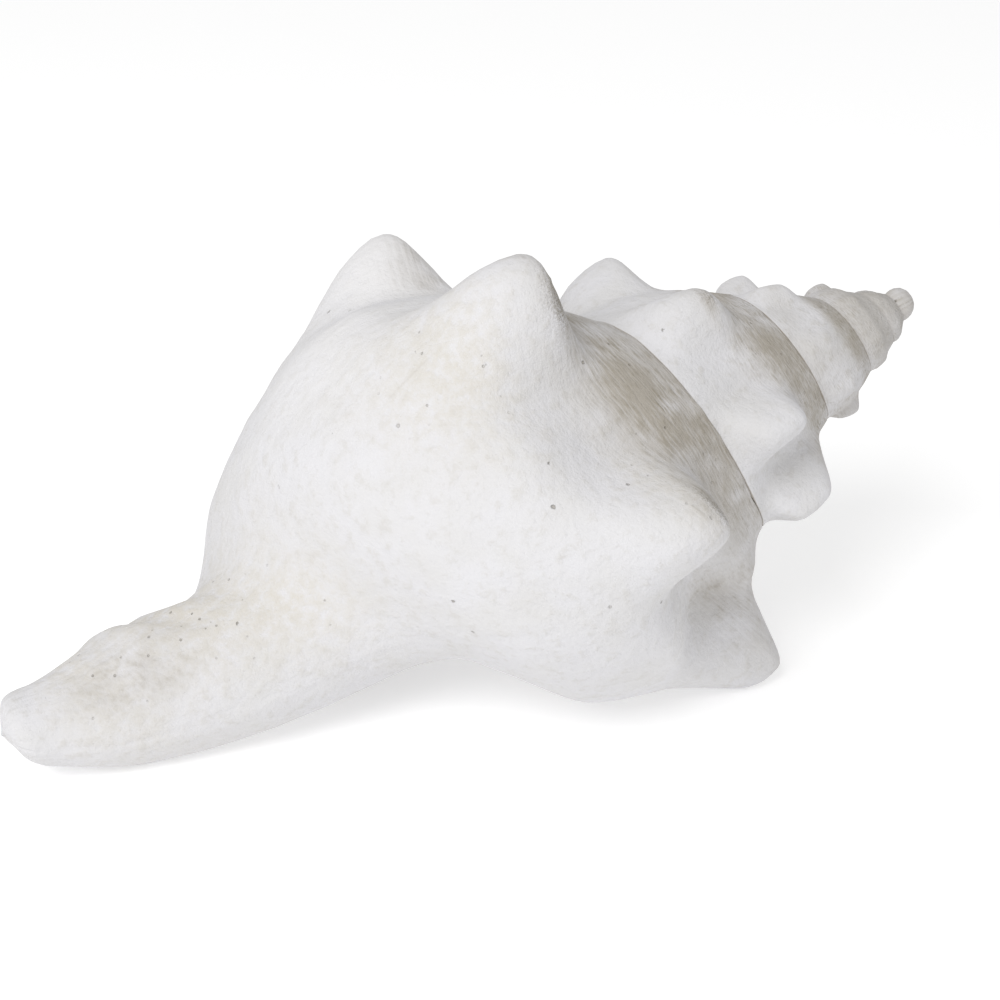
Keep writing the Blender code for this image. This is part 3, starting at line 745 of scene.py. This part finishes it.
def relief(points, turn, along, inside, found):
    """How far each point of the surface stands out from the smooth form, in metres."""
    mm = points * 1000.0
    outside = 1.0 - smoothstep(inside * INSIDE_FADE)
    size = GROWTH_PER_TURN ** np.minimum(turn, 0.0)
    dents = sum(high * noise(mm / wide + offset) for high, wide, offset in DENTS)
    lines = 0.0
    for high, in_turn, in_station, offset in GROWTH_LINES:
        waves = np.stack([turn * in_turn, along * in_station, 0 * turn + offset], axis=-1)
        lines = lines + high * noise(waves)
    height = dents * size + lines * outside * (1.0 + GROWTH_LINES_IN_DIRT * found["dirt_and_painted_shade"]) * size
    height += found["grit"] * (sum(high * noise(mm / wide) for high, wide in GRIT) - GRIT_DEPTH_MM)
    height -= SUTURE_DEPTH_MM * size * found["crease"]
    for pit_turn, pit_along, radius, depth in PITS:
        away = beside_line(turn, along, [(pit_turn, pit_along), (pit_turn + POINT_TURNS, pit_along)])
        height -= depth * np.exp(-((away / radius) ** 2))
    for (from_turn, from_along), (to_turn, to_along), reach, fold_height in FOLDS:
        share = (turn - from_turn) / (to_turn - from_turn)
        share = np.clip(share, -FOLD_OVERRUN, 1.0 + FOLD_OVERRUN)
        off = along - from_along - (to_along - from_along) * share
        ends = smoothstep((share + FOLD_OVERRUN) / FOLD_FADE)
        ends = ends * smoothstep((1.0 + FOLD_OVERRUN - share) / FOLD_FADE)
        height += fold_height * outside * ends * np.exp(-((off / reach) ** 2))
    return height * 0.001


def add_attribute(mesh, name, values, kind="FLOAT", domain="POINT", field="value"):
    mesh.attributes.new(name, kind, domain).data.foreach_set(field, np.asarray(values, np.float32).ravel())


def make_shell():
    """The shell with its relief and the attributes that its material reads, and the shift of its middle."""
    surface = Surface()
    surface.add_outside()
    surface.add_mouth()
    shell, shift = surface.made("conch_shell")
    mesh = shell.data
    turn, along = np.concatenate(surface.grown).T
    inside = np.concatenate(surface.inside)
    found = masks(turn, along, inside)
    points = read_vector(mesh, "co")
    points += read_vector(mesh, "normal") * relief(points, turn, along, inside, found)[:, None]
    points = fit_in_box(points, np.array(CAD_LOW), np.array(CAD_HIGH))
    mesh.vertices.foreach_set("co", points.ravel())
    for name, values in found.items():
        add_attribute(mesh, name, values)
    add_attribute(mesh, "inside", inside)
    corner = np.array(surface.corner_grown)
    places = np.stack([corner[:, 0] * MM_PER_TURN, corner[:, 1] * MM_PER_STATION, 0 * corner[:, 0]], axis=-1)
    add_attribute(mesh, "grown", places, "FLOAT_VECTOR", "CORNER", "vector")
    mesh.update()
    return shell, shift


class Nodes:
    """Builds a material's nodes with short calls."""

    def __init__(self, name):
        self.material = bpy.data.materials.new(name)
        self.material.use_nodes = True
        self.tree = self.material.node_tree
        self.shader = self.tree.nodes["Principled BSDF"]

    def put(self, socket, value):
        if hasattr(value, "is_linked"):
            self.tree.links.new(value, socket)
        else:
            socket.default_value = value

    def attribute(self, name, output="Fac"):
        node = self.tree.nodes.new("ShaderNodeAttribute")
        node.attribute_name = name
        return node.outputs[output]

    def place(self):
        """The place on the shell in millimetres."""
        metres = self.tree.nodes.new("ShaderNodeTexCoord").outputs["Object"]
        return self.stretched(metres, (1000.0, 1000.0, 1000.0))

    def stretched(self, vector, scale):
        node = self.tree.nodes.new("ShaderNodeVectorMath")
        node.operation = "MULTIPLY"
        self.put(node.inputs[0], vector)
        self.put(node.inputs[1], scale)
        return node.outputs[0]

    def noise(self, vector, width, detail=2.0, rough=0.5):
        """Noise from 0 to 1 with features about as wide as said, in the vector's own units."""
        node = self.tree.nodes.new("ShaderNodeTexNoise")
        self.put(node.inputs["Vector"], vector)
        node.inputs["Scale"].default_value = 1.0 / width
        node.inputs["Detail"].default_value = detail
        node.inputs["Roughness"].default_value = rough
        return node.outputs["Fac"]

    def math(self, operation, first, second=0.0):
        node = self.tree.nodes.new("ShaderNodeMath")
        node.operation = operation
        self.put(node.inputs[0], first)
        self.put(node.inputs[1], second)
        return node.outputs[0]

    def ramp(self, value, low, high):
        """0 below low, 1 above high, and a soft rise between; high may be less than low."""
        node = self.tree.nodes.new("ShaderNodeMapRange")
        node.interpolation_type = "SMOOTHSTEP"
        self.put(node.inputs["Value"], value)
        flipped = high < low
        node.inputs["From Min"].default_value = min(low, high)
        node.inputs["From Max"].default_value = max(low, high)
        node.inputs["To Min"].default_value = 1.0 if flipped else 0.0
        node.inputs["To Max"].default_value = 0.0 if flipped else 1.0
        return node.outputs["Result"]

    def times(self, first, second):
        return self.math("MULTIPLY", first, second)

    def plus(self, first, second):
        return self.math("ADD", first, second)

    def blend(self, share, first, second):
        node = self.tree.nodes.new("ShaderNodeMix")
        node.data_type = "RGBA"
        self.put(node.inputs["Factor"], share)
        self.put(node.inputs[6], first)
        self.put(node.inputs[7], second)
        return node.outputs[2]

    def cells(self, vector, width):
        """The distance to the nearest scattered point, in cells, and that point's own random colour."""
        node = self.tree.nodes.new("ShaderNodeTexVoronoi")
        self.put(node.inputs["Vector"], vector)
        node.inputs["Scale"].default_value = 1.0 / width
        return node.outputs["Distance"], node.outputs["Color"]

    def bump(self, height, strength, distance):
        node = self.tree.nodes.new("ShaderNodeBump")
        self.put(node.inputs["Height"], height)
        node.inputs["Strength"].default_value = strength
        node.inputs["Distance"].default_value = distance
        return node.outputs["Normal"]


def chalk_material():
    """Old shell faded to a matt chalky white, dirty in fine streaks and grains, with painted shade and
    painted light in some patches, and small pits.
    """
    n = Nodes("chalky_shell")
    place = n.place()
    grown = n.attribute("grown", "Vector")
    dirt_and_painted_shade, warm, grit = n.attribute("dirt_and_painted_shade"), n.attribute("warm"), n.attribute("grit")
    crease, inside, painted_light = n.attribute("crease"), n.attribute("inside"), n.attribute("painted_light")

    streaks = n.noise(n.stretched(grown, STREAK_STRETCH), *STREAKS)
    clouds = n.noise(place, *CLOUDS)
    mottle = n.noise(place, *MOTTLE)
    grains = n.noise(place, *GRAINS)

    colour = n.blend(n.ramp(clouds, *SOFT_RANGE), CHALK_COOL, CHALK_SOFT)
    colour = n.blend(n.times(n.ramp(mottle, *STAIN_RANGE), STAIN_SHARE), colour, CHALK_STAIN)
    # Painted light: the patches lighten the chalk in place of light
    colour = n.blend(n.times(painted_light, PAINTED_LIGHT_SHARE), colour, PAINTED_LIGHT_CHALK)
    warm_grains = n.plus(n.times(grains, WARM_GRAINS), WARM_LEAST)
    warm_share = n.times(n.times(warm, n.ramp(mottle, *WARM_RANGE)), warm_grains)
    colour = n.blend(n.math("MINIMUM", warm_share, 1.0), colour, CHALK_WARM)
    # Dust and deep dirt, and painted shade where the patches hold it, darken the chalk
    dirt_clouds = n.times(n.ramp(clouds, *DIRT_CLOUD_RANGE), DIRT_CLOUD_SHARE)
    dirt_streaks = n.times(n.ramp(streaks, *DIRT_STREAK_RANGE), DIRT_STREAK_SHARE)
    dust_and_shade = n.times(dirt_and_painted_shade, n.plus(dirt_clouds, dirt_streaks))
    colour = n.blend(n.math("MINIMUM", dust_and_shade, 1.0), colour, DUST_AND_SHADE_COLOUR)
    deep = n.times(n.times(dirt_and_painted_shade, n.ramp(streaks, *DEEP_STREAK_RANGE)), n.ramp(mottle, *DEEP_MOTTLE_RANGE))
    colour = n.blend(n.times(deep, DEEP_SHARE), colour, DEEP_DIRT_AND_SHADE_COLOUR)
    gritty = n.times(grit, n.ramp(grains, *GRITTY_RANGE))
    colour = n.blend(n.times(gritty, GRITTY_SHARE), colour, DEEP_DIRT_AND_SHADE_COLOUR)
    colour = n.blend(n.times(n.ramp(crease, *CREASE_RANGE), CREASE_SHARE), colour, SUTURE_BROWN)

    distance, own = n.cells(place, PIT_CELL_MM)
    chosen = n.ramp(n.math("FRACT", n.times(own, PIT_SPREAD)), *PIT_CHOICE)
    ragged = n.plus(distance, n.times(grains, PIT_RAGGED))
    pits = n.times(n.ramp(ragged, *PIT_EDGE), chosen)
    distance, own = n.cells(place, SPECK_CELL_MM)
    field = n.plus(n.times(warm, SPECKS_IN_WARM), n.times(dirt_and_painted_shade, SPECKS_IN_DIRT))
    chosen = n.ramp(n.math("FRACT", n.times(own, SPECK_SPREAD)), *SPECK_CHOICE)
    specks = n.times(n.times(n.ramp(distance, *SPECK_EDGE), chosen), n.ramp(field, *SPECK_FIELD_RANGE))
    pits = n.math("MAXIMUM", pits, n.times(specks, SPECK_SHARE))
    pits = n.times(pits, n.ramp(inside, *PITS_OUTSIDE))
    colour = n.blend(n.times(pits, PIT_SHARE), colour, PIT_BROWN)
    colour = n.blend(n.ramp(inside, *CREAM_RANGE), colour, MOUTH_CREAM)

    gloss = n.times(n.ramp(inside, *GLOSSY_RANGE), MOUTH_GLOSS)
    n.put(n.shader.inputs["Base Color"], colour)
    n.put(n.shader.inputs["Roughness"], n.math("SUBTRACT", ROUGHNESS, gloss))
    n.shader.inputs["Specular IOR Level"].default_value = SPECULAR

    height = n.plus(n.times(grains, BUMP_GRAINS), n.times(mottle, BUMP_MOTTLE))
    streaky = n.times(streaks, n.plus(n.times(dirt_and_painted_shade, BUMP_STREAKS_IN_DIRT), BUMP_STREAKS_LEAST))
    height = n.plus(height, n.times(streaky, BUMP_STREAKS))
    height = n.math("SUBTRACT", height, n.times(pits, BUMP_PITS))
    height = n.plus(height, n.times(n.times(grit, grains), BUMP_GRIT))
    height = n.times(height, n.ramp(inside, *ROUGH_OUTSIDE))
    n.put(n.shader.inputs["Normal"], n.bump(height, BUMP_STRENGTH, BUMP_DISTANCE_M))
    return n.material


def make_floor():
    bpy.ops.mesh.primitive_plane_add(size=FLOOR_SIZE, location=(0.0, 0.0, 0.0))
    floor = bpy.context.object
    floor.name = "floor"
    material = bpy.data.materials.new("pale_floor")
    material.use_nodes = True
    shader = material.node_tree.nodes["Principled BSDF"]
    shader.inputs["Base Color"].default_value = (FLOOR_GREY, FLOOR_GREY, FLOOR_GREY, 1.0)
    shader.inputs["Roughness"].default_value = FLOOR_ROUGHNESS
    shader.inputs["Emission Color"].default_value = WHITE
    shader.inputs["Emission Strength"].default_value = FLOOR_GLOW
    floor.data.materials.append(material)


def make_camera(shift):
    """The camera looks at the middle of the axis, a little aside, as the photograph does."""
    middle = np.array([-0.5 * math.cos(AXIS_TILT), 0.0, APEX_HEIGHT - 0.5 * math.sin(AXIS_TILT)])
    a, e = CAMERA_AZIMUTH, CAMERA_ELEVATION
    back = np.array([math.sin(a) * math.cos(e), -math.cos(a) * math.cos(e), math.sin(e)])
    right = np.cross(-back, (0.0, 0.0, 1.0))
    right /= np.linalg.norm(right)
    above = np.cross(right, -back)
    eye = middle + back * CAMERA_DISTANCE + right * CAMERA_ASIDE + above * CAMERA_ABOVE
    eye = eye * SHELL_LENGTH + shift
    turned_right = math.cos(CAMERA_ROLL) * right + math.sin(CAMERA_ROLL) * above
    turned_above = math.cos(CAMERA_ROLL) * above - math.sin(CAMERA_ROLL) * right
    data = bpy.data.cameras.new("camera")
    data.lens = CAMERA_LENS_MM
    data.sensor_width = SENSOR_MM
    camera = bpy.data.objects.new("camera", data)
    bpy.context.scene.collection.objects.link(camera)
    turned = Matrix((turned_right, turned_above, back)).transposed()
    camera.matrix_world = Matrix.Translation(eye) @ turned.to_4x4()
    bpy.context.scene.camera = camera


def make_light():
    world = bpy.data.worlds.new("studio")
    bpy.context.scene.world = world
    world.use_nodes = True
    sky = world.node_tree.nodes["Background"]
    sky.inputs["Color"].default_value = WHITE
    sky.inputs["Strength"].default_value = SKY_STRENGTH
    data = bpy.data.lights.new("key", "AREA")
    data.shape = "DISK"
    data.size = KEY_SIZE
    data.energy = KEY_POWER
    key = bpy.data.objects.new("key", data)
    bpy.context.scene.collection.objects.link(key)
    place = Vector(KEY_PLACE)
    key.location = place
    key.rotation_euler = (-place).to_track_quat("-Z", "Y").to_euler()
    bpy.context.scene.view_settings.view_transform = "Standard"


shell, shift = make_shell()
shell.data.materials.append(chalk_material())
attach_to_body(shell, "root")
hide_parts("shell")
make_floor()
make_camera(shift)
make_light()
